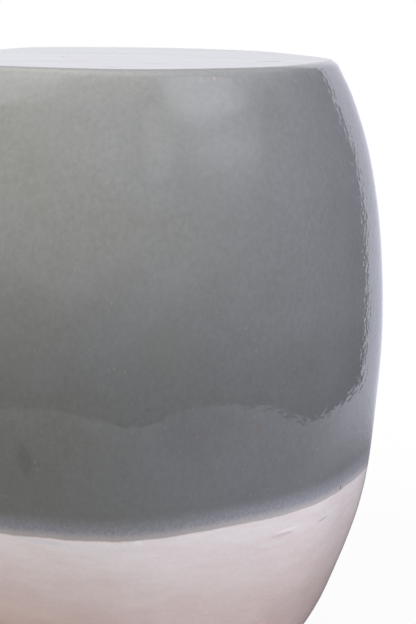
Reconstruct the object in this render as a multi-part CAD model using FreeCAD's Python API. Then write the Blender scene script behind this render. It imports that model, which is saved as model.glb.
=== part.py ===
import FreeCAD, Part
import math
import os

# Ceramic garden stool: a hollow, hand-formed barrel of stoneware with a flat closed seat.
# Sizes are in millimetres. +Z is up, the floor is z = 0 and the barrel's axis is x = y = 0.

# Glazed outside of the barrel: heights above the floor and mean radii there
stool_height = 457.0
seat_radius = 142.0
belly_height = 258.0
belly_radius = 183.0
foot_radius = 123.0

# The side's curve between them, as shares of the way up and of the way out: first from the foot
# to the belly, and then from the belly to the seat
lower_side = [
    (0.0, 0.0),
    (0.116, 0.292),
    (0.24, 0.508),
    (0.372, 0.7),
    (0.512, 0.85),
    (0.698, 0.933),
]
upper_side = [
    (0.0, 0.0),
    (0.412, 0.134),
    (0.688, 0.39),
    (0.874, 0.695),
    (1.0, 1.0),
]

# The plan is hand formed, with eight soft flats: the direction that each one faces, in degrees,
# and its distance from the axis as a share of the others' mean
flats = [
    (23.0, 0.970),
    (64.0, 0.990),
    (94.0, 1.025),
    (157.0, 0.994),
    (201.0, 1.029),
    (251.0, 1.011),
    (292.0, 0.978),
    (331.0, 0.996),
]
flat_sharpness = 13.0

# Clay walls, measured level, and the coats of glaze over them
wall_thickness = 9.0
seat_thickness = 13.0
glaze_thickness = 0.8
rim_rounding = 5.0
foot_rounding = 2.0
bare_foot_height = 8.0

# The dipped line where the grey coat ends: its height, and how it rises and falls on its way
# round, as the number of waves, their height and the direction of a crest. The cut along it
# reaches from inside the wall to outside it, as shares of the mean radius there
dip_height = 148.0
dip_waves = [
    (1, 1.6, -16.0),
    (2, 1.8, -43.0),
    (3, 0.9, 57.0),
]
dip_reaches = (0.6, 1.25)

# Joints between the clay pieces
slip_gap = 0.3
tongue_height = 8.0
spigot_depth = 6.0
coil_size = 9.0
coil_edge = 1.5

# Base ring and its pads
base_thickness = 12.0
base_opening_radius = 70.0
foot_rim_width = 17.0
foot_rim_depth = 3.0
pad_radius = 7.0
pad_thickness = 2.5
pad_directions = [40.0, 130.0, 220.0, 310.0]

# How far a cut runs past the face that it goes through
cut_margin = 1.0

# Fineness of the curves
plan_points = 48
level_step = 26.0
rounding_steps = 4

# Places that follow from the sizes above
stations = []
for up, out in lower_side:
    stations.append((up * belly_height, foot_radius + out * (belly_radius - foot_radius)))
for up, out in upper_side:
    height = belly_height + up * (stool_height - belly_height)
    stations.append((height, belly_radius + out * (seat_radius - belly_radius)))
clay_inset = glaze_thickness
middle_inset = glaze_thickness + wall_thickness / 2
hollow_inset = glaze_thickness + wall_thickness
clay_top = stool_height - glaze_thickness
seat_underside = clay_top - seat_thickness
base_top = pad_thickness + base_thickness


def stationSlope(index):
    """Slope of the side at one station, from the stations beside it."""
    below = stations[max(index - 1, 0)]
    above = stations[min(index + 1, len(stations) - 1)]
    return (above[1] - below[1]) / (above[0] - below[0])


def meanRadius(height):
    """Mean radius of the glazed outside, a smooth curve through the stations."""
    index = 0
    while index < len(stations) - 2 and height > stations[index + 1][0]:
        index += 1
    low_height, low_radius = stations[index]
    high_height, high_radius = stations[index + 1]
    span = high_height - low_height
    t = (height - low_height) / span
    from_low = (2 * t**3 - 3 * t**2 + 1) * low_radius
    from_low += (t**3 - 2 * t**2 + t) * span * stationSlope(index)
    from_high = (3 * t**2 - 2 * t**3) * high_radius
    from_high += (t**3 - t**2) * span * stationSlope(index + 1)
    return from_low + from_high


def planRadius(angle, size, inset):
    """Distance from the axis to the plan's edge, for flats about size away, set in by inset."""
    total = 0.0
    for direction, share in flats:
        facing = math.cos(angle - math.radians(direction))
        if facing > 0:
            total += (facing / (size * share - inset)) ** flat_sharpness
    return total ** (-1 / flat_sharpness)


whole_turn = 2 * math.pi
turns = [whole_turn * step / plan_points for step in range(plan_points)]
unit_mean = sum(planRadius(turn, 1, 0) for turn in turns) / plan_points


def sideRadius(height, inset, angle):
    """Distance from the axis to a side that stands inset inside the glazed outside."""
    return planRadius(angle, meanRadius(height) / unit_mean, inset)


def closedCurve(points):
    """Smooth closed edge through one point for each turn."""
    curve = Part.BSplineCurve()
    curve.interpolate(Points=points, Parameters=turns + [whole_turn], PeriodicFlag=True)
    return curve.toShape()


def outline(height, inset):
    """Closed smooth outline of the barrel at one height."""
    points = []
    for turn in turns:
        radius = sideRadius(height, inset, turn)
        points.append(FreeCAD.Vector(radius * math.cos(turn), radius * math.sin(turn), height))
    return Part.Wire(closedCurve(points))


def form(levels):
    """Solid whose side passes through the outline of each (height, inset) level."""
    return Part.makeLoft([outline(height, inset) for height, inset in levels], True, False)


def straightLevels(low, high, inset):
    """Levels of one inset, closer together near both ends, where a rounded edge may follow."""
    count = max(4, math.ceil((high - low) / level_step))
    levels = []
    for step in range(count + 1):
        share = (1 - math.cos(math.pi * step / count)) / 2
        levels.append((low + share * (high - low), inset))
    return levels


def roundedTop(top, inset, rounding):
    """Levels of a rounded upper edge, from its side to its flat top."""
    levels = []
    for step in range(1, rounding_steps + 1):
        bend = math.pi / 2 * step / rounding_steps
        height = top - rounding * (1 - math.sin(bend))
        levels.append((height, inset + rounding * (1 - math.cos(bend))))
    return levels


def roundedBottom(bottom, inset, rounding):
    """Levels of a rounded lower edge, from its flat underside to its side."""
    levels = []
    for step in range(rounding_steps):
        bend = math.pi / 2 * (1 - step / rounding_steps)
        height = bottom + rounding * (1 - math.sin(bend))
        levels.append((height, inset + rounding * (1 - math.cos(bend))))
    return levels


def layer(low, high):
    """Block that holds everything between two heights."""
    side = 4 * belly_radius
    corner = FreeCAD.Vector(-side / 2, -side / 2, low)
    return Part.makeBox(side, side, high - low, corner)


def glazedForm():
    """The whole outside of the stool, up to the glaze's surface."""
    levels = straightLevels(bare_foot_height, stool_height - rim_rounding, 0)
    return form(levels + roundedTop(stool_height, 0, rim_rounding))


def clayForm():
    """The whole outside of the clay, from its foot to the top of the seat."""
    rounding = rim_rounding - glaze_thickness
    levels = roundedBottom(pad_thickness, clay_inset, foot_rounding)
    levels += straightLevels(pad_thickness + foot_rounding, clay_top - rounding, clay_inset)
    return form(levels + roundedTop(clay_top, clay_inset, rounding))


def innerForm(inset):
    """A full-height form inside the clay, to cut it along its thickness."""
    return form(straightLevels(0, stool_height, inset))


def dipForm():
    """Ring below the wavy line where the grey coat ends."""
    edges = []
    for reach in dip_reaches:
        radius = reach * meanRadius(dip_height)
        points = []
        for turn in turns:
            height = dip_height
            for count, rise, crest in dip_waves:
                height += rise * math.cos(count * (turn - math.radians(crest)))
            points.append(FreeCAD.Vector(radius * math.cos(turn), radius * math.sin(turn), height))
        edges.append(closedCurve(points))
    surface = Part.makeRuledSurface(edges[0], edges[1])
    return surface.extrude(FreeCAD.Vector(0, 0, -dip_height))


def lowerWall(clay, hollow, middle):
    """Lower half of the barrel, with an inner tongue that stands up into the upper half."""
    tongue_top = belly_height + tongue_height
    wall = clay.common(layer(base_top, tongue_top)).cut(hollow)
    outer_half = layer(belly_height, tongue_top + cut_margin).cut(middle)
    return wall.cut(outer_half)


def upperWall(clay, hollow):
    """Upper half of the barrel, with a rebate for the lower half's tongue."""
    wall = clay.common(layer(belly_height, seat_underside)).cut(hollow)
    rebate_top = belly_height + tongue_height + slip_gap
    rebate = layer(belly_height - cut_margin, rebate_top)
    return wall.cut(rebate.common(innerForm(middle_inset - slip_gap)))


def seatSlab(clay, spigot):
    """Closed seat, lying on the wall's top edge, with a spigot that drops inside it."""
    bottom = seat_underside - spigot_depth
    slab = clay.common(layer(bottom, stool_height))
    return slab.cut(layer(bottom - cut_margin, seat_underside).cut(spigot))


def baseRing(clay, spigot):
    """Flat base with a round opening and a raised foot rim, with a spigot up into the wall."""
    top = base_top + spigot_depth
    ring = clay.common(layer(0, top))
    ring = ring.cut(layer(base_top, top + cut_margin).cut(spigot))
    ring = ring.cut(Part.makeCylinder(base_opening_radius, top + cut_margin))
    recess = innerForm(clay_inset + foot_rim_width)
    return ring.cut(recess.common(layer(0, pad_thickness + foot_rim_depth)))


def cornerCoil(hollow, corner_height, direction):
    """Coil pressed into an inside corner, thinning out up or down the wall."""
    levels = []
    for step in range(rounding_steps + 1):
        bend = math.pi / 2 * step / rounding_steps
        height = corner_height + direction * coil_size * math.cos(bend)
        bulge = coil_edge + (coil_size - coil_edge) * math.sin(bend)
        levels.append((height, hollow_inset + bulge))
    levels.sort()
    return hollow.common(layer(levels[0][0], levels[-1][0])).cut(form(levels))


def bellyCoil(hollow):
    """Coil pressed over the inside of the belly joint."""
    levels = []
    for step in range(-rounding_steps, rounding_steps + 1):
        bend = math.pi / 2 * step / rounding_steps
        bulge = coil_edge + (coil_size - coil_edge) / 2 * math.cos(bend)
        levels.append((belly_height + coil_size * math.sin(bend), hollow_inset + bulge))
    return hollow.common(layer(levels[0][0], levels[-1][0])).cut(form(levels))


def footPad(direction):
    """Round pad under the middle of the foot rim."""
    angle = math.radians(direction)
    reach = sideRadius(pad_thickness, clay_inset + foot_rim_width / 2, angle)
    place = FreeCAD.Vector(reach * math.cos(angle), reach * math.sin(angle), 0)
    return Part.makeCylinder(pad_radius, pad_thickness, place)


def buildPieces():
    """Every piece of the stool, by name."""
    glazed = glazedForm()
    clay = clayForm()
    hollow = innerForm(hollow_inset)
    spigot = innerForm(hollow_inset + slip_gap)
    coat = glazed.cut(clay)
    dip = dipForm()
    pieces = {
        "lower_wall": lowerWall(clay, hollow, innerForm(middle_inset)),
        "upper_wall": upperWall(clay, hollow),
        "seat_slab": seatSlab(clay, spigot),
        "base_ring": baseRing(clay, spigot),
        "seat_coil": cornerCoil(hollow, seat_underside - spigot_depth, -1),
        "belly_coil": bellyCoil(hollow),
        "base_coil": cornerCoil(hollow, base_top + spigot_depth, 1),
        "grey_glaze": coat.cut(dip),
        "pale_glaze": coat.common(dip),
    }
    for number, direction in enumerate(pad_directions, start=1):
        pieces[f"foot_pad_{number}"] = footPad(direction)
    return pieces


os.makedirs("parts", exist_ok=True)
for name, shape in buildPieces().items():
    shape.exportStep(f"parts/{name}.step")
    print(name, len(shape.Solids), round(shape.Volume / 1000, 1), shape.isValid())
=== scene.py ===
import bpy
import math
from mathutils import Matrix, Vector

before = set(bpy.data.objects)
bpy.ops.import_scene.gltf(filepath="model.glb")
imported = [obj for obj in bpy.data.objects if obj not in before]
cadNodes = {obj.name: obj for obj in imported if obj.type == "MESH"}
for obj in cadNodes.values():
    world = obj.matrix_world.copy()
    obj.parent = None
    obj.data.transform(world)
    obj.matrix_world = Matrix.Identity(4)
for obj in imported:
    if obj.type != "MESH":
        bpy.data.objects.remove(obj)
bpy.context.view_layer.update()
print("frame loaded:", len(cadNodes), "nodes")


# Camera, fitted to the seat's edges, the right side and the dipped line in the photograph
camera = {
    "place": (-0.000443, -1.06373, 0.5178),
    "yaw": 2.911,           # degrees, turned to the right of +Y
    "pitch": 13.432,        # degrees, looking down
    "roll": 0.599,
    "lens": 81.93,          # millimetres, like the sensor
    "sensorWidth": 36,
    "nearest": 0.05,
    "farthest": 30,
}


def makeCamera():
    yaw, pitch, roll = (math.radians(camera[key]) for key in ("yaw", "pitch", "roll"))
    right = Vector((math.cos(yaw), -math.sin(yaw), 0))
    ahead = Vector((math.cos(pitch) * math.sin(yaw), math.cos(pitch) * math.cos(yaw), -math.sin(pitch)))
    up = right.cross(ahead)
    turned = Matrix((
        math.cos(roll) * right + math.sin(roll) * up,
        math.cos(roll) * up - math.sin(roll) * right,
        -ahead,
    )).transposed()
    data = bpy.data.cameras.new("camera")
    data.sensor_width = camera["sensorWidth"]
    data.lens = camera["lens"]
    data.clip_start = camera["nearest"]
    data.clip_end = camera["farthest"]
    item = bpy.data.objects.new("camera", data)
    item.matrix_world = Matrix.Translation(camera["place"]) @ turned.to_4x4()
    bpy.context.scene.collection.objects.link(item)
    bpy.context.scene.camera = item


makeCamera()
print("camera placed")


# Helpers for the shader trees. A value is a number, a colour or another node's output
white = (1, 1, 1, 1)


def addNode(tree, kind, **settings):
    node = tree.nodes.new(kind)
    for name, value in settings.items():
        setattr(node, name, value)
    return node


def feed(tree, socket, value):
    if isinstance(value, bpy.types.NodeSocket):
        tree.links.new(value, socket)
    else:
        socket.default_value = value


def calculate(tree, operation, *values):
    node = addNode(tree, "ShaderNodeMath", operation=operation)
    for socket, value in zip(node.inputs, values):
        feed(tree, socket, value)
    return node.outputs[0]


def measure(tree, operation, vector, other):
    # one number from a vector and a fixed one, such as their distance
    node = addNode(tree, "ShaderNodeVectorMath", operation=operation)
    tree.links.new(vector, node.inputs[0])
    node.inputs[1].default_value = other
    return node.outputs["Value"]


def between(tree, value, low, high, toLow=0.0, toHigh=1.0, smooth=True):
    # runs from toLow to toHigh while the value goes from low to high
    node = addNode(tree, "ShaderNodeMapRange", interpolation_type="SMOOTHSTEP" if smooth else "LINEAR")
    feed(tree, node.inputs["Value"], value)
    feed(tree, node.inputs["From Min"], low)
    feed(tree, node.inputs["From Max"], high)
    feed(tree, node.inputs["To Min"], toLow)
    feed(tree, node.inputs["To Max"], toHigh)
    return node.outputs["Result"]


def mixColour(tree, share, first, second, blend="MIX"):
    node = addNode(tree, "ShaderNodeMix", data_type="RGBA", blend_type=blend)
    feed(tree, node.inputs[0], share)
    feed(tree, node.inputs[6], first)
    feed(tree, node.inputs[7], second)
    return node.outputs[2]


def tinted(tree, colour, factor):
    return mixColour(tree, 1.0, colour, factor, "MULTIPLY")


def splitAxes(tree, vector):
    node = addNode(tree, "ShaderNodeSeparateXYZ")
    tree.links.new(vector, node.inputs[0])
    return node.outputs["X"], node.outputs["Y"], node.outputs["Z"]


def noiseAt(tree, place, size, detail, roughness=0.5, stretch=(1, 1, 1)):
    # size is the width of one patch in metres
    mapping = addNode(tree, "ShaderNodeMapping")
    feed(tree, mapping.inputs["Vector"], place)
    mapping.inputs["Scale"].default_value = stretch
    node = addNode(tree, "ShaderNodeTexNoise")
    tree.links.new(mapping.outputs["Vector"], node.inputs["Vector"])
    node.inputs["Scale"].default_value = 1 / size
    node.inputs["Detail"].default_value = detail
    node.inputs["Roughness"].default_value = roughness
    return node.outputs["Fac"]


def around(tree, noise, depth):
    # factor about 1 that moves by the depth to either side
    return calculate(tree, "MULTIPLY_ADD", noise, 2 * depth, 1 - depth)


def rampUp(tree, value, stops):
    # smooth grey that runs through each (value, paleness) stop
    low, high = stops[0][0], stops[-1][0]
    node = addNode(tree, "ShaderNodeValToRGB")
    node.color_ramp.interpolation = "B_SPLINE"
    while len(node.color_ramp.elements) < len(stops):
        node.color_ramp.elements.new(0.5)  # its place follows below
    for element, (place, paleness) in zip(node.color_ramp.elements, stops):
        element.position = (place - low) / (high - low)
        element.color = (paleness, paleness, paleness, 1)
    tree.links.new(between(tree, value, low, high, smooth=False), node.inputs["Fac"])
    return node.outputs["Color"]


def newMaterial(name):
    material = bpy.data.materials.new(name)
    material.use_nodes = True
    tree = material.node_tree
    shader = tree.nodes["Principled BSDF"]
    place = addNode(tree, "ShaderNodeTexCoord").outputs["Object"]
    return material, tree, shader, place


def addBump(tree, shader, height):
    bump = addNode(tree, "ShaderNodeBump")
    bump.inputs["Distance"].default_value = 1.0  # the height is in metres
    tree.links.new(height, bump.inputs["Height"])
    tree.links.new(bump.outputs["Normal"], shader.inputs["Normal"])


def newGroup(name, inputs, outputs):
    group = bpy.data.node_groups.new(name, "ShaderNodeTree")
    for socketName, kind in inputs:
        group.interface.new_socket(socketName, in_out="INPUT", socket_type="NodeSocket" + kind)
    for socketName, kind in outputs:
        group.interface.new_socket(socketName, in_out="OUTPUT", socket_type="NodeSocket" + kind)
    return group, group.nodes.new("NodeGroupInput"), group.nodes.new("NodeGroupOutput")


# Studio: a white paper floor with a dark room in front of it and a white backdrop behind.
# A rise is the height of a direction, from 0 level to 1 straight up
studio = {
    # the paper on the floor, which the glaze mirrors
    "floorSize": 12.0,
    "paper": (0.57, 0.57, 0.57, 1),
    "paperRoughness": 0.9,
    "paperShine": 0.0,
    "darkFloor": (0.1, 0.1, 0.11, 1),
    "sheetHalfWidth": 0.675,
    "sheetTaper": 0.15,         # how fast it narrows towards the front
    "sheetFront": 0.715,
    "sheetCorner": 6,           # how square the sheet's corners are
    "wingStart": -0.212,        # where the white backdrop's wings would meet on the axis
    "shadowMiddle": (0.22, 0.0, 0.0),
    "shadowPaper": (0.16, 0.5, 0.5, 1.0),       # distances from and to, and the share at each
    "shadowSeen": (0.2, 0.7, 0.965, 1.0),
    "mirroredMiddle": (0.2, 0.2, 0.0),          # the darkest floor that the pale band mirrors
    "shadowMirrored": (0.16, 0.54, 0.15, 1.0),
    "dullPatch": (0.36, -0.66, 0.0),            # a duller part of the sheet near its front edge
    "dullShare": (0.06, 0.27, 0.5, 1.0),
    "mirroredLeft": (0.6, 0.59, 0.57, 1),
    "mirroredRight": (1.04, 1.06, 1.24, 1),
    "mirroredAcross": (-0.6, 0.45),             # along X one colour turns into the other

    # the white backdrop
    "backAngle": 49,            # degrees from +Y out to its edge
    "backSoftness": 0.01,
    "backNarrows": (0.2, 0.6, 0.0, 0.28),       # rises from and to, and how far its edge comes in
    "backWhite": (1.06, 1.06, 1.16, 1),
    "backEdge": (1.06, 1.04, 1.24, 1),          # the white's colour out at its right edge
    "backAcross": (0.1, 0.6),
    "backTop": (0.3, 0.62),     # the white fades out between these rises
    "backHigh": (0.3, 0.3, 0.33, 1),

    # the dark room
    "darkLeft": (0.26, 0.255, 0.245, 1),
    "darkRight": (0.09, 0.095, 0.14, 1),
    "darkAcross": (-0.7, 0.8),
    "highLeft": (0.85, 0.85, 0.83, 1),
    "highRight": (0.1, 0.1, 0.12, 1),
    "highBand": (0.1, 0.8),     # the room grows paler between these rises
    "panelEdge": (0.88, 0.742, 0.08),           # lean, direction and softness of the pale side's right edge

    # soft glows: azimuth from the camera side, elevation, half width in degrees, colour added
    "glows": [
        (-65, 46, 15, (1.42, 1.42, 1.62, 1)),
        (49, 43, 16.5, (1.87, 1.92, 2.06, 1)),
        (49, 30, 16, (0.8, 0.82, 0.92, 1)),
        (24, 31, 15, (0.85, 0.86, 0.9, 1)),
        (50, 18, 12, (0.4, 0.42, 0.47, 1)),
    ],
}


def directionOf(azimuth, elevation):
    turn, lift = math.radians(azimuth), math.radians(elevation)
    return Vector((math.sin(turn) * math.cos(lift), -math.cos(turn) * math.cos(lift), math.sin(lift)))


def backdropShare(tree, across, along, up):
    # 1 in the directions that the white backdrop fills
    squares = [calculate(tree, "POWER", axis, 2.0) for axis in (across, along)]
    level = calculate(tree, "SQRT", calculate(tree, "ADD", *squares))
    ahead = calculate(tree, "DIVIDE", along, level)
    ahead = calculate(tree, "SUBTRACT", ahead, between(tree, up, *studio["backNarrows"], smooth=False))
    edge, softness = math.cos(math.radians(studio["backAngle"])), studio["backSoftness"]
    return between(tree, ahead, edge - softness, edge + softness)


def darkRoomColour(tree, direction, across, along, up):
    side = between(tree, across, *studio["darkAcross"])
    low = mixColour(tree, side, studio["darkLeft"], studio["darkRight"])
    lean, edgeTurn, softness = studio["panelEdge"]
    turn = calculate(tree, "ARCTAN2", across, calculate(tree, "MULTIPLY", along, -1.0))
    beyond = calculate(tree, "MULTIPLY_ADD", calculate(tree, "ARCSINE", up), -lean, turn)
    beyond = between(tree, beyond, edgeTurn - softness, edgeTurn + softness)
    high = mixColour(tree, beyond, studio["highLeft"], studio["highRight"])
    dark = mixColour(tree, between(tree, up, *studio["highBand"]), low, high)
    for azimuth, elevation, halfWidth, glow in studio["glows"]:
        facing = measure(tree, "DOT_PRODUCT", direction, directionOf(azimuth, elevation))
        inside = between(tree, facing, math.cos(math.radians(halfWidth)), 1.0)
        dark = mixColour(tree, inside, dark, glow, "ADD")
    return dark


def makeWorld():
    world = bpy.data.worlds.new("studio")
    bpy.context.scene.world = world
    world.use_nodes = True
    tree = world.node_tree
    tree.nodes.clear()
    direction = addNode(tree, "ShaderNodeTexCoord").outputs["Generated"]
    across, along, up = splitAxes(tree, direction)
    dark = darkRoomColour(tree, direction, across, along, up)
    side = between(tree, across, *studio["backAcross"])
    back = mixColour(tree, side, studio["backWhite"], studio["backEdge"])
    back = mixColour(tree, between(tree, up, *studio["backTop"]), back, studio["backHigh"])
    colour = mixColour(tree, backdropShare(tree, across, along, up), dark, back)
    seen = addNode(tree, "ShaderNodeLightPath").outputs["Is Camera Ray"]
    background = addNode(tree, "ShaderNodeBackground")
    tree.links.new(mixColour(tree, seen, colour, white), background.inputs["Color"])
    output = addNode(tree, "ShaderNodeOutputWorld")
    tree.links.new(background.outputs[0], output.inputs["Surface"])


def sheetShare(tree, across, along):
    # 1 on the white sheet and on the backdrop's wings, 0 on the dark floor beside them
    width = calculate(tree, "ABSOLUTE", across)
    forward = calculate(tree, "MAXIMUM", calculate(tree, "MULTIPLY", along, -1.0), 0.0)
    half = calculate(tree, "MULTIPLY_ADD", forward, -studio["sheetTaper"], studio["sheetHalfWidth"])
    corner = studio["sheetCorner"]
    reachX = calculate(tree, "POWER", calculate(tree, "DIVIDE", width, half), corner)
    reachY = calculate(tree, "POWER", calculate(tree, "DIVIDE", forward, studio["sheetFront"]), corner)
    sheet = calculate(tree, "LESS_THAN", calculate(tree, "ADD", reachX, reachY), 1.0)
    slope = 1 / math.tan(math.radians(studio["backAngle"]))
    wing = calculate(tree, "MULTIPLY_ADD", width, slope, studio["wingStart"])
    return calculate(tree, "MAXIMUM", sheet, calculate(tree, "GREATER_THAN", along, wing))


def makeFloor():
    bpy.ops.object.select_all(action="DESELECT")
    bpy.ops.mesh.primitive_plane_add(size=studio["floorSize"], location=(0, 0, 0))
    floor = bpy.context.object
    floor.name = "floor"
    material, tree, shader, place = newMaterial("floorPaper")
    across, along, _ = splitAxes(tree, place)
    sheet = sheetShare(tree, across, along)
    lightPath = addNode(tree, "ShaderNodeLightPath")
    seen = lightPath.outputs["Is Camera Ray"]
    mirrored = lightPath.outputs["Is Glossy Ray"]

    # the lit paper, with a painted shadow that darkens its colour where the stool stands over it, also as
    # the glaze mirrors it
    away = measure(tree, "DISTANCE", place, studio["shadowMiddle"])
    further = measure(tree, "DISTANCE", place, studio["mirroredMiddle"])
    dim = between(tree, further, *studio["shadowMirrored"])
    colour = mixColour(tree, calculate(tree, "MAXIMUM", sheet, seen), studio["darkFloor"], studio["paper"])
    colour = tinted(tree, colour, between(tree, away, *studio["shadowPaper"]))
    colour = mixColour(tree, mirrored, colour, tinted(tree, colour, dim))
    tree.links.new(colour, shader.inputs["Base Color"])
    shader.inputs["Roughness"].default_value = studio["paperRoughness"]
    shader.inputs["Specular IOR Level"].default_value = studio["paperShine"]

    # seen straight on, it is plain white but for the soft shadow round the stool's foot
    plain = calculate(tree, "MULTIPLY", between(tree, away, *studio["shadowSeen"]), seen)

    # mirrored in the glaze, it glows a little, and bluer on the right
    glossy = calculate(tree, "MULTIPLY", dim, calculate(tree, "MULTIPLY", sheet, mirrored))
    turning = between(tree, across, *studio["mirroredAcross"])
    tint = mixColour(tree, turning, studio["mirroredLeft"], studio["mirroredRight"])
    dull = measure(tree, "DISTANCE", place, studio["dullPatch"])
    tint = tinted(tree, tint, between(tree, dull, *studio["dullShare"]))
    glow = addNode(tree, "ShaderNodeEmission")
    tree.links.new(mixColour(tree, seen, tint, white), glow.inputs["Color"])
    mix = addNode(tree, "ShaderNodeMixShader")
    tree.links.new(calculate(tree, "MAXIMUM", plain, glossy), mix.inputs[0])
    tree.links.new(shader.outputs[0], mix.inputs[1])
    tree.links.new(glow.outputs[0], mix.inputs[2])

    # from below it is clear, so that the stool's underside can be looked at
    below = calculate(tree, "MULTIPLY", addNode(tree, "ShaderNodeNewGeometry").outputs["Backfacing"], seen)
    clear = addNode(tree, "ShaderNodeBsdfTransparent")
    whole = addNode(tree, "ShaderNodeMixShader")
    tree.links.new(below, whole.inputs[0])
    tree.links.new(mix.outputs[0], whole.inputs[1])
    tree.links.new(clear.outputs[0], whole.inputs[2])
    tree.links.new(whole.outputs[0], tree.nodes["Material Output"].inputs["Surface"])
    floor.data.materials.append(material)


lamps = {
    # name: (azimuth from the camera side, elevation, distance, width, height, strength, colour)
    "keyBox": (-44, 70, 1.4, 1.3, 0.8, 8.5, (1.0, 0.995, 0.985)),
    "sideBox": (-70, 35, 1.8, 0.8, 0.8, 0.2, (1.0, 0.985, 0.95)),
    "fillBox": (72, -15, 1.0, 1.0, 0.25, 4.4, (0.96, 0.97, 1.04)),
}
lampAim = (0, 0, 0.4)


def makeLamps():
    for name, (azimuth, elevation, distance, width, height, strength, colour) in lamps.items():
        towards = directionOf(azimuth, elevation)
        data = bpy.data.lights.new(name, "AREA")
        data.shape = "RECTANGLE"
        data.size = width
        data.size_y = height
        data.color = colour
        data.energy = strength * width * height * math.pi  # strength is the lamp's own brightness
        item = bpy.data.objects.new(name, data)
        item.visible_glossy = False  # the soft glows stand for it in the glaze
        item.location = Vector(lampAim) + towards * distance
        item.rotation_euler = towards.to_track_quat("Z", "Y").to_euler()
        bpy.context.scene.collection.objects.link(item)


makeWorld()
makeFloor()
makeLamps()
bpy.context.scene.view_settings.view_transform = "Standard"
print("studio lit")


# Glaze. Heights are above the floor, and directions are degrees about +Z from +X.
# A noise is its patch width, detail, roughness and the stretch of its axes
dipLine = {
    "height": 0.148,
    "waves": [(1, 0.0016, -16), (2, 0.0018, -43), (3, 0.0009, 57)],  # count, rise, crest's direction
    "raggedness": [
        # noise and depth of its small waves
        ((0.022, 2.0, 0.5, (1, 1, 0.3)), 0.0022),
        ((0.003, 2.0, 0.5, (1, 1, 0.3)), 0.0005),
    ],
}


def makeDipGroup():
    # height above the dipped line, ragged as the glaze ran
    group, start, end = newGroup("dipHeight", [("Place", "Vector")], [("Above", "Float")])
    place = start.outputs["Place"]
    across, along, up = splitAxes(group, place)
    turn = calculate(group, "ARCTAN2", along, across)
    line = dipLine["height"]
    for count, rise, crest in dipLine["waves"]:
        angle = calculate(group, "MULTIPLY_ADD", turn, count, -count * math.radians(crest))
        line = calculate(group, "MULTIPLY_ADD", calculate(group, "COSINE", angle), rise, line)
    for noise, depth in dipLine["raggedness"]:
        ragged = noiseAt(group, place, *noise)
        line = calculate(group, "ADD", line, calculate(group, "MULTIPLY_ADD", ragged, depth, -depth / 2))
    group.links.new(calculate(group, "SUBTRACT", up, line), end.inputs["Above"])
    return group


seatTop = {
    "height": 0.457,
    "from": -0.002,             # this far from its height the seat's colour starts
    "full": -0.0002,            # and here it is full
    # darker than the walls' coat: painted shade that offsets the stronger light on the seat from above
    "colour": (0.21, 0.209, 0.21, 1),
    "brush": (0.02, 3.0, 0.6, (0.12, 1, 1)),    # long marks over the seat
    "brushDepth": 0.035,
    "wear": (0.05, 3.0, 0.6, (0.3, 1, 1)),      # patches where the seat is duller
    "wearRoughness": 0.08,
    "leastRoughness": 0.155,
}
greyGlaze = {
    "depthsAndShade": [
        # height above the floor, and how pale the coat is there: partly the glaze's own depth, partly
        # painted shade of the light falling off towards the foot
        (0.15, 0.138), (0.185, 0.143), (0.215, 0.157), (0.24, 0.173), (0.262, 0.187), (0.29, 0.214),
        (0.318, 0.244), (0.35, 0.272), (0.39, 0.272), (0.42, 0.247), (0.445, 0.238), (0.457, 0.27),
    ],
    "paintedRightShade": [
        # height, and the factor there on the right: painted light and shade, lighter low down and darker
        # higher up, as the light falls on that side
        (0.17, 1.07), (0.2, 1.1), (0.235, 1.17), (0.275, 1.05),
        (0.32, 0.92), (0.37, 0.84), (0.42, 1.0), (0.457, 0.9),
    ],
    "paintedRightShadeAcross": (0.02, 0.13),       # from here to there along X the painted light and shade on the right grows in
    "tint": (1.0, 1.005, 0.985, 1),
    "cloud": (0.035, 4.0, 0.6),     # wide mottling
    "cloudDepth": 0.11,
    "grain": (0.0035, 4.0, 0.75, (1, 1, 0.8)),  # fine mottling
    "grainDepth": 0.2,
    "greenish": (0.995, 1.0, 0.955, 1),
    "bluish": (0.97, 0.98, 1.045, 1),
    "drift": (0.07, 4.0, 0.65),     # green turns into blue along X, in drifting patches
    "driftReach": 0.3,
    "driftAcross": (0.03, 0.28),
    "specks": [
        # noise, the peaks of it that show, colour and strength: rusty ones, then pale ones
        ((0.0034, 1.0), (0.755, 0.8), (0.3, 0.19, 0.16, 1), 0.5),
        ((0.0027, 1.0, 0.5, (1.1, 0.9, 1)), (0.73, 0.8), (0.4, 0.4, 0.39, 1), 0.25),
    ],
    "gloss": (0.012, 3.0, 0.6),     # this and the next three hold for both coats
    "glossRoughness": 0.03,
    "leastRoughness": 0.008,
    "refraction": 1.5,
}
veil = {
    # the grey coat thins above its lower edge. Heights here are above the dipped line
    "grain": (0.0016, 2.0, 0.7),
    "grainDepth": 0.0015,
    "blueFrom": (0.019, 0.002),     # between these heights the bluish veil grows to its full share
    "blue": (0.25, 0.25, 0.282, 1),
    "blueRight": (0.31, 0.31, 0.355, 1),    # the same on the right, where it is paler
    "tanFrom": (0.0068, 0.0),
    "tan": (0.42, 0.385, 0.37, 1),
    "tanRight": (0.5, 0.465, 0.45, 1),      # the same on the right, where the coat runs thinner
    "rightAcross": (0.0, 0.13),
    "speck": (0.0021, 2.0, 0.7, (1, 1, 0.8)),   # dark and pale grains in the bluish veil
    "speckFrom": (0.38, 0.65),
    "speckDepth": 0.11,
    "blend": 0.0006,                # half the width over which one coat turns into the other
    "brownEdge": (0.36, 0.28, 0.245, 1),    # a thin line along the edge
    "brownHalf": 0.0013,
    "brownShare": (0.35, 0.08),     # on the left and on the right
    "step": 0.0001,                 # how far the grey coat stands out over the pale one
    "stepFrom": (-0.0006, 0.0012),
}
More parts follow.
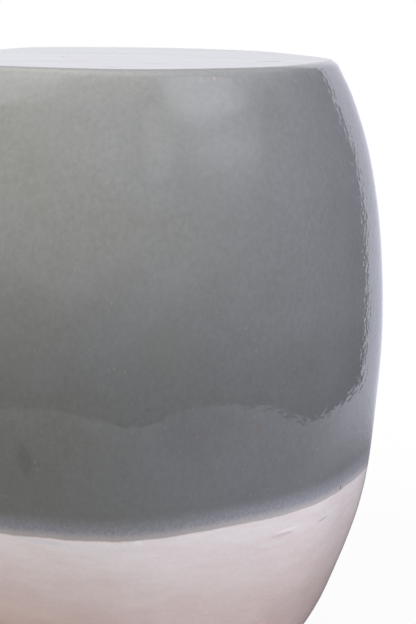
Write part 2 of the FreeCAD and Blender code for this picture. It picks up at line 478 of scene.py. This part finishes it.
paleGlaze = {
    "high": (0.824, 0.76, 0.765, 1),
    "low": (0.68, 0.498, 0.445, 1),
    "flashed": (0.55, 0.34, 0.25, 1),       # the same low down on the left, where the fire caught it
    "fade": (0.145, 0.03),          # heights between which one turns into the other; the darker low colour is partly a pinker glaze and partly painted shade near the foot
    "flash": (0.04, 4.0, 0.6),      # makes the flashed part's border uneven
    "flashReach": 0.16,
    "flashAcross": (0.14, -0.02),
    "brush": (0.018, 5.0, 0.65, (1, 1, 4)),     # level marks round the stool
    "brushDepth": 0.07,
    "grit": (0.0028, 3.0, 0.6, (1, 1, 1.6)),
    "gritDepth": 0.07,
    "blush": (0.97, 0.93, 0.92, 1),         # faint pink patches
    "blushPatches": (0.04, 4.0, 0.6, (1, 1, 3)),
    "blushFrom": (0.35, 0.7),
}


def onSeat(tree, rise):
    return between(tree, rise, seatTop["height"] + seatTop["from"], seatTop["height"] + seatTop["full"])


def greyCoatColour(tree, place, across, rise, above):
    # paleness by height, partly painted shade towards the foot
    grey = tinted(tree, rampUp(tree, rise, greyGlaze["depthsAndShade"]), greyGlaze["tint"])
    # painted light and shade by height on the right side
    paintedRightShade = rampUp(tree, rise, greyGlaze["paintedRightShade"])
    grey = tinted(tree, grey, mixColour(tree, between(tree, across, *greyGlaze["paintedRightShadeAcross"]), white, paintedRightShade))
    cloud = around(tree, noiseAt(tree, place, *greyGlaze["cloud"]), greyGlaze["cloudDepth"])
    grain = around(tree, noiseAt(tree, place, *greyGlaze["grain"]), greyGlaze["grainDepth"])
    grey = tinted(tree, grey, calculate(tree, "MULTIPLY", cloud, grain))
    drift = noiseAt(tree, place, *greyGlaze["drift"])
    drift = calculate(tree, "MULTIPLY_ADD", drift, greyGlaze["driftReach"], across)
    drift = between(tree, drift, *greyGlaze["driftAcross"])
    grey = tinted(tree, grey, mixColour(tree, drift, greyGlaze["greenish"], greyGlaze["bluish"]))
    # the seat's own darker colour is painted shade against the light from above
    brushed = around(tree, noiseAt(tree, place, *seatTop["brush"]), seatTop["brushDepth"])
    grey = mixColour(tree, onSeat(tree, rise), grey, tinted(tree, seatTop["colour"], brushed))
    for noise, peaks, speck, strength in greyGlaze["specks"]:
        share = between(tree, noiseAt(tree, place, *noise), *peaks)
        grey = mixColour(tree, calculate(tree, "MULTIPLY", share, strength), grey, speck)
    return addVeil(tree, place, across, above, grey)


def addVeil(tree, place, across, above, grey):
    # a grainy bluish veil, then a tan one down at the edge
    depth = veil["grainDepth"]
    grain = noiseAt(tree, place, *veil["grain"])
    grained = calculate(tree, "MULTIPLY_ADD", grain, 2 * depth, calculate(tree, "SUBTRACT", above, depth))
    speck = noiseAt(tree, place, *veil["speck"])
    speck = between(tree, speck, *veil["speckFrom"], 1.0 - veil["speckDepth"], 1.0 + veil["speckDepth"])
    right = between(tree, across, *veil["rightAcross"])
    blue = tinted(tree, mixColour(tree, right, veil["blue"], veil["blueRight"]), speck)
    grey = mixColour(tree, between(tree, grained, *veil["blueFrom"]), grey, blue)
    tan = mixColour(tree, right, veil["tan"], veil["tanRight"])
    return mixColour(tree, between(tree, grained, *veil["tanFrom"]), grey, tan)


def paleCoatColour(tree, place, across, rise):
    flash = noiseAt(tree, place, *paleGlaze["flash"])
    flash = calculate(tree, "MULTIPLY_ADD", flash, paleGlaze["flashReach"], across)
    flash = between(tree, flash, *paleGlaze["flashAcross"])
    foot = mixColour(tree, flash, paleGlaze["low"], paleGlaze["flashed"])
    # towards the foot the coat turns pinker and darker, the darkening partly painted shade
    pale = mixColour(tree, between(tree, rise, *paleGlaze["fade"], smooth=False), paleGlaze["high"], foot)
    brush = around(tree, noiseAt(tree, place, *paleGlaze["brush"]), paleGlaze["brushDepth"])
    grit = around(tree, noiseAt(tree, place, *paleGlaze["grit"]), paleGlaze["gritDepth"])
    pale = tinted(tree, pale, calculate(tree, "MULTIPLY", brush, grit))
    blush = between(tree, noiseAt(tree, place, *paleGlaze["blushPatches"]), *paleGlaze["blushFrom"])
    return mixColour(tree, blush, pale, tinted(tree, pale, paleGlaze["blush"]))


def addBrownEdge(tree, across, above, colour):
    half = veil["brownHalf"]
    edge = calculate(tree, "MULTIPLY", between(tree, above, -half, 0.0), between(tree, above, half, 0.0))
    share = between(tree, across, *veil["rightAcross"], *veil["brownShare"])
    return mixColour(tree, calculate(tree, "MULTIPLY", edge, share), colour, veil["brownEdge"])


ripples = {
    "swell": ((0.09, 1.0), 0.00012),        # noise and height, in metres
    "ripple": ((0.010, 1.0, 0.4), 0.00013),
    "fleck": ((0.0042, 1.0, 0.4), 0.00007),
    "calm": 0.55,                   # share of ripple and fleck left on the calm left side
    "calmAcross": (0.0, 0.11),      # from here to there along X they grow to their full height
    "edgeFlecks": (0.12, 0.165, 1.0, 2.2),  # from and to along X, and how much taller the flecks get
}


def surfaceHeight(tree, place, across, above):
    calm = between(tree, across, *ripples["calmAcross"], ripples["calm"], 1.0)
    lively = calculate(tree, "MULTIPLY", calm, between(tree, across, *ripples["edgeFlecks"]))
    noise, depth = ripples["swell"]
    height = calculate(tree, "MULTIPLY", noiseAt(tree, place, *noise), depth)
    for name, share in (("ripple", calm), ("fleck", lively)):
        noise, depth = ripples[name]
        wave = calculate(tree, "MULTIPLY", noiseAt(tree, place, *noise), depth)
        height = calculate(tree, "MULTIPLY_ADD", wave, share, height)
    return calculate(tree, "ADD", height, between(tree, above, *veil["stepFrom"], 0.0, veil["step"]))


marks = {
    # name: place, width, height, tilt in degrees, colour, strength, depth
    "scratch": ((0.1328, -0.1075, 0.1354), 0.012, 0.0013, -2, (0.42, 0.35, 0.35, 1), 0.5, -0.0001),
    # a real hollow in the surface height, with its darker colour a painted shadow along it
    "dentShadow": ((0.1001, -0.1370, 0.1352), 0.018, 0.0026, -2, (0.66, 0.55, 0.56, 1), 0.55, -0.0002),
    # the dent's raised ridge, with its paler colour a painted highlight
    "dentHighlight": ((0.1040, -0.1340, 0.1385), 0.020, 0.0026, -2, (0.95, 0.92, 0.93, 1), 0.4, 0.0001),
    "smear": ((0.0934, -0.1401, 0.1304), 0.024, 0.0040, 2, (0.80, 0.80, 0.83, 1), 0.35, 0.0),
    "leftSmear": ((-0.0622, -0.1632, 0.1425), 0.034, 0.0034, 2, (0.66, 0.66, 0.69, 1), 0.55, 0.0),
    "greenPatch": ((0.019, -0.178, 0.2842), 0.036, 0.030, 10, (0.19, 0.195, 0.175, 1), 0.35, 0.0),
    "leftRun": ((-0.0754, -0.1641, 0.2017), 0.010, 0.020, -8, (0.1, 0.1, 0.095, 1), 0.45, 0.0),
    "rustRun": ((0.081, -0.1552, 0.2195), 0.003, 0.009, 6, (0.17, 0.13, 0.11, 1), 0.45, 0.0),
    "footShade": ((0.112, -0.102, 0.062), 0.06, 0.045, 20, (0.42, 0.3, 0.28, 1), 0.22, 0.0),
    "drip": ((-0.0005, -0.1747, 0.1462), 0.006, 0.0030, 0, (0.86, 0.85, 0.86, 1), 0.6, 0.0),
    "nick": ((0.1474, -0.0902, 0.1531), 0.0018, 0.0030, 0, (0.09, 0.09, 0.11, 1), 0.8, -0.0003),
    "redDot": ((0.0495, -0.1303, 0.4511), 0.0018, 0.0018, 0, (0.5, 0.3, 0.27, 1), 0.45, 0.0),
}
seatMarks = {
    # name: place on the seat, width, depth, turn in degrees, colour, strength
    "dot": ((-0.0549, -0.0044), 0.0022, 0.0040, 0, (0.05, 0.05, 0.055, 1), 0.6),
    "frontDots": ((-0.0183, -0.1177), 0.0070, 0.0030, 0, (0.07, 0.065, 0.06, 1), 0.5),
    "rightStreak": ((0.0937, -0.0462), 0.0170, 0.0030, 6, (0.09, 0.07, 0.06, 1), 0.55),
    "middleStreak": ((0.0102, -0.0749), 0.0150, 0.0026, -4, (0.11, 0.085, 0.075, 1), 0.35),
}
markShape = {
    "warp": (0.003, 3.0, 0.6),      # noise that makes the outlines uneven
    "warpReach": 0.7,
    "fade": (1.5, 0.6),             # a mark fades in between these distances, in half widths
    "wallReach": 0.03,              # how far a mark reaches through the wall
    "seatReach": 0.004,
    "dullness": 0.5,                # how much rougher a mark makes the seat
}


def markShare(tree, place, middle, size, turned, warp):
    # 1 inside an oval patch about the middle, fading out over its edge
    mapping = addNode(tree, "ShaderNodeMapping", vector_type="TEXTURE")
    tree.links.new(place, mapping.inputs["Vector"])
    mapping.inputs["Location"].default_value = middle
    mapping.inputs["Rotation"].default_value = turned
    mapping.inputs["Scale"].default_value = [extent / 2 for extent in size]
    away = addNode(tree, "ShaderNodeVectorMath", operation="LENGTH")
    tree.links.new(mapping.outputs["Vector"], away.inputs[0])
    return between(tree, calculate(tree, "ADD", away.outputs["Value"], warp), *markShape["fade"])


def addMarks(tree, place, colour, height):
    dull = 0.0
    reach = markShape["warpReach"]
    warp = calculate(tree, "MULTIPLY_ADD", noiseAt(tree, place, *markShape["warp"]), 2 * reach, -reach)
    for middle, width, rise, tilt, paint, strength, depth in marks.values():
        turned = (0, math.radians(tilt), math.atan2(middle[1], middle[0]) + math.pi / 2)
        share = markShare(tree, place, middle, (width, markShape["wallReach"], rise), turned, warp)
        colour = mixColour(tree, calculate(tree, "MULTIPLY", share, strength), colour, paint)
        if depth:
            height = calculate(tree, "MULTIPLY_ADD", share, depth, height)
    for (x, y), width, breadth, turn, paint, strength in seatMarks.values():
        size = (width, breadth, markShape["seatReach"])
        share = markShare(tree, place, (x, y, seatTop["height"]), size, (0, 0, math.radians(turn)), warp)
        colour = mixColour(tree, calculate(tree, "MULTIPLY", share, strength), colour, paint)
        dull = calculate(tree, "MULTIPLY_ADD", share, strength, dull)
    return colour, height, dull


def surfaceRoughness(tree, place, rise, dull):
    gloss = noiseAt(tree, place, *greyGlaze["gloss"])
    gloss = calculate(tree, "MULTIPLY_ADD", gloss, greyGlaze["glossRoughness"], greyGlaze["leastRoughness"])
    worn = noiseAt(tree, place, *seatTop["wear"])
    worn = calculate(tree, "MULTIPLY_ADD", worn, seatTop["wearRoughness"], seatTop["leastRoughness"])
    roughness = between(tree, onSeat(tree, rise), 0.0, 1.0, gloss, worn, smooth=False)
    return calculate(tree, "MULTIPLY_ADD", dull, markShape["dullness"], roughness)


def makeGlazeGroup(dipGroup):
    # colour, roughness and surface height of the whole outside, from foot to seat
    outputs = [("Colour", "Color"), ("Roughness", "Float"), ("Height", "Float")]
    group, start, end = newGroup("glazeSurface", [("Place", "Vector")], outputs)
    place = start.outputs["Place"]
    dip = addNode(group, "ShaderNodeGroup", node_tree=dipGroup)
    group.links.new(place, dip.inputs["Place"])
    above = dip.outputs["Above"]
    across, _, rise = splitAxes(group, place)
    grey = greyCoatColour(group, place, across, rise, above)
    pale = paleCoatColour(group, place, across, rise)
    colour = mixColour(group, between(group, above, -veil["blend"], veil["blend"]), pale, grey)
    colour = addBrownEdge(group, across, above, colour)
    height = surfaceHeight(group, place, across, above)
    colour, height, dull = addMarks(group, place, colour, height)
    group.links.new(colour, end.inputs["Colour"])
    group.links.new(surfaceRoughness(group, place, rise, dull), end.inputs["Roughness"])
    group.links.new(height, end.inputs["Height"])
    return group


def makeGlazeMaterial(name, glazeGroup):
    material, tree, shader, place = newMaterial(name)
    surface = addNode(tree, "ShaderNodeGroup", node_tree=glazeGroup)
    tree.links.new(place, surface.inputs["Place"])
    tree.links.new(surface.outputs["Colour"], shader.inputs["Base Color"])
    tree.links.new(surface.outputs["Roughness"], shader.inputs["Roughness"])
    addBump(tree, shader, surface.outputs["Height"])
    shader.inputs["IOR"].default_value = greyGlaze["refraction"]
    return material


def dressNode(name, material):
    for slot in cadNodes[name].material_slots:
        slot.material = material


glazeGroup = makeGlazeGroup(makeDipGroup())
dressNode("grey_glaze", makeGlazeMaterial("greyCoat", glazeGroup))
dressNode("pale_glaze", makeGlazeMaterial("paleCoat", glazeGroup))
print("glaze coats dressed")


# Bare fired clay under the glaze and inside the stool
clay = {
    "pale": (0.62, 0.5, 0.4, 1),
    "dark": (0.5, 0.38, 0.29, 1),
    "cloud": (0.03, 4.0, 0.6),
    "speck": (0.18, 0.12, 0.09, 1),
    "speckSpots": (0.0022, 1.0),
    "speckFrom": (0.68, 0.74),
    "roughness": 0.85,
    "grit": (0.0015, 3.0),
    "gritHeight": 0.0002,
    "nodes": ("lower_wall", "upper_wall", "seat_slab", "base_ring", "seat_coil", "belly_coil", "base_coil"),
}


def makeClayMaterial():
    material, tree, shader, place = newMaterial("firedClay")
    colour = mixColour(tree, noiseAt(tree, place, *clay["cloud"]), clay["dark"], clay["pale"])
    speck = between(tree, noiseAt(tree, place, *clay["speckSpots"]), *clay["speckFrom"])
    tree.links.new(mixColour(tree, speck, colour, clay["speck"]), shader.inputs["Base Color"])
    shader.inputs["Roughness"].default_value = clay["roughness"]
    grit = noiseAt(tree, place, *clay["grit"])
    addBump(tree, shader, calculate(tree, "MULTIPLY", grit, clay["gritHeight"]))
    return material


# Rubber pads under the foot
rubber = {
    "dark": (0.035, 0.035, 0.037, 1),
    "dusty": (0.09, 0.09, 0.088, 1),
    "dust": (0.004, 3.0, 0.6),
    "roughness": 0.75,
    "nodes": ("foot_pad_1", "foot_pad_2", "foot_pad_3", "foot_pad_4"),
}


def makeRubberMaterial():
    material, tree, shader, place = newMaterial("padRubber")
    dust = noiseAt(tree, place, *rubber["dust"])
    tree.links.new(mixColour(tree, dust, rubber["dark"], rubber["dusty"]), shader.inputs["Base Color"])
    shader.inputs["Roughness"].default_value = rubber["roughness"]
    return material


for piece, makeMaterial in ((clay, makeClayMaterial), (rubber, makeRubberMaterial)):
    material = makeMaterial()
    for name in piece["nodes"]:
        dressNode(name, material)
print("clay and pads dressed")
